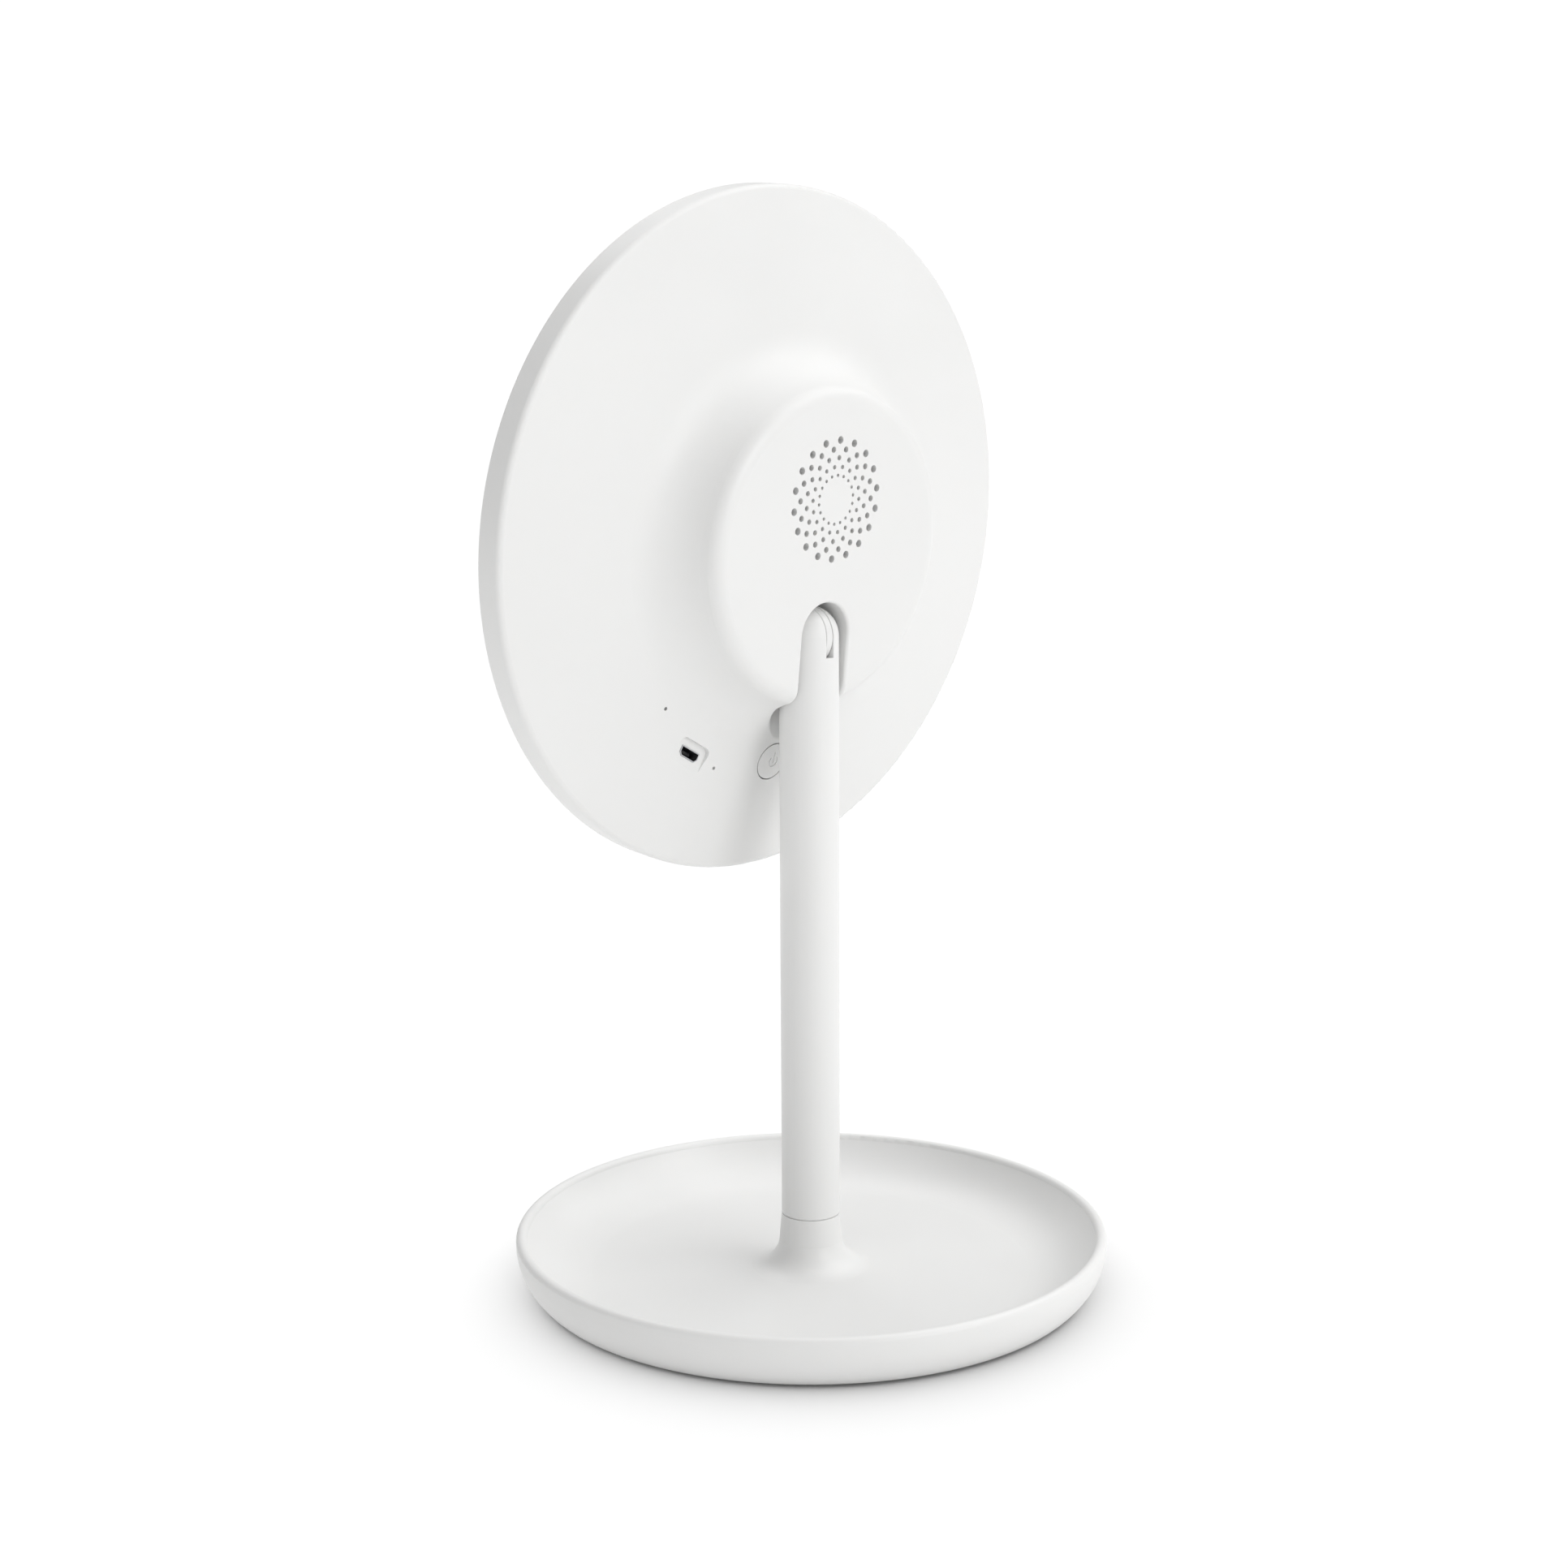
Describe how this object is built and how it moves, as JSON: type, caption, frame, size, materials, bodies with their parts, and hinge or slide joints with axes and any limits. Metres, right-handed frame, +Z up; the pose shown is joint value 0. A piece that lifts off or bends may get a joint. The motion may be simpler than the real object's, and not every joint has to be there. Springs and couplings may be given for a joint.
{
  "type": "lighted vanity mirror with speaker",
  "caption": "Round tilting table mirror with a ring light, a speaker grille and a charging socket in its moulded back, on a post in a round tray base.",
  "frame": {"origin": "centre of the foot on the table, under the post", "axes": "+Z up along the post, -Y the way the mirror faces, +X to the viewer's right when facing the mirror"},
  "size_m": [0.2, 0.1772, 0.3223],
  "materials": {
    "white_abs": "white ABS, fine moulded texture",
    "foot_silicone": "grey silicone foot, matt",
    "weight_steel": "cut sheet steel, as rolled",
    "screw_steel": "zinc-plated screw steel",
    "brass_insert": "turned brass",
    "white_painted_zinc": "white powder coat on die-cast zinc",
    "bracket_steel": "pressed steel",
    "frame_abs": "white ABS, matt inner frame",
    "silvered_glass": "silvered float glass",
    "opal_acrylic": "opal acrylic diffuser, satin",
    "circuit_board": "glass-epoxy board with green solder mask",
    "led_phosphor": "phosphor-filled resin",
    "speaker_cloth": "grey acoustic mesh",
    "foam": "closed-cell foam",
    "paper_cone": "pressed paper pulp",
    "magnet": "sintered ferrite",
    "battery_foil": "aluminium laminate pouch",
    "chip_resin": "black moulding resin",
    "socket_tin": "tinned steel sheet",
    "socket_black": "black liquid-crystal polymer",
    "switch_plastic": "black nylon",
    "clear_pipe": "clear polycarbonate light pipe"
  },
  "bodies": {
    "base": {"foot_pad": "foot_silicone", "base_weight": "weight_steel", "tray": "white_abs", "post": "white_abs", "post_anchor": "brass_insert", "post_washer": "screw_steel", "post_screw": "screw_steel", "hinge_screw": "screw_steel", "hinge_nut": "screw_steel", "hinge_plugs": "white_abs"},
    "power_button": {"power_button": "white_abs", "switch_plunger": "switch_plastic"},
    "head": {"hinge_tongue": "white_painted_zinc", "hinge_bracket": "bracket_steel", "bracket_screws": "screw_steel", "rear_shell": "white_abs", "front_frame": "frame_abs", "frame_screws": "screw_steel", "mirror_glass": "silvered_glass", "light_ring": "opal_acrylic", "led_board": "circuit_board", "leds": "led_phosphor", "speaker_cloth": "speaker_cloth", "speaker_gasket": "foam", "speaker_basket": "bracket_steel", "speaker_cone": "paper_cone", "speaker_magnet": "magnet", "speaker_clamp": "frame_abs", "speaker_screws": "screw_steel", "battery": "battery_foil", "main_board": "circuit_board", "board_screws": "screw_steel", "board_chips": "chip_resin", "usb_shell": "socket_tin", "usb_tongue": "socket_black", "tact_switch": "switch_plastic", "charge_light_pipe": "clear_pipe", "microphone": "socket_tin", "touch_pad": "foam"}
  },
  "joints": [
    {"name": "head_tilt", "type": "hinge", "parent": "base", "child": "head", "pos_m": [0, 0, 0.194], "axis": [-1, 0, 0], "range_deg": [-6, 84]},
    {"name": "button_press", "type": "slide", "parent": "head", "child": "power_button", "axis": [0, -0.9942, 0.108], "range_m": [0, 0.0005], "stiffness_N_per_m": 1200}
  ]
}
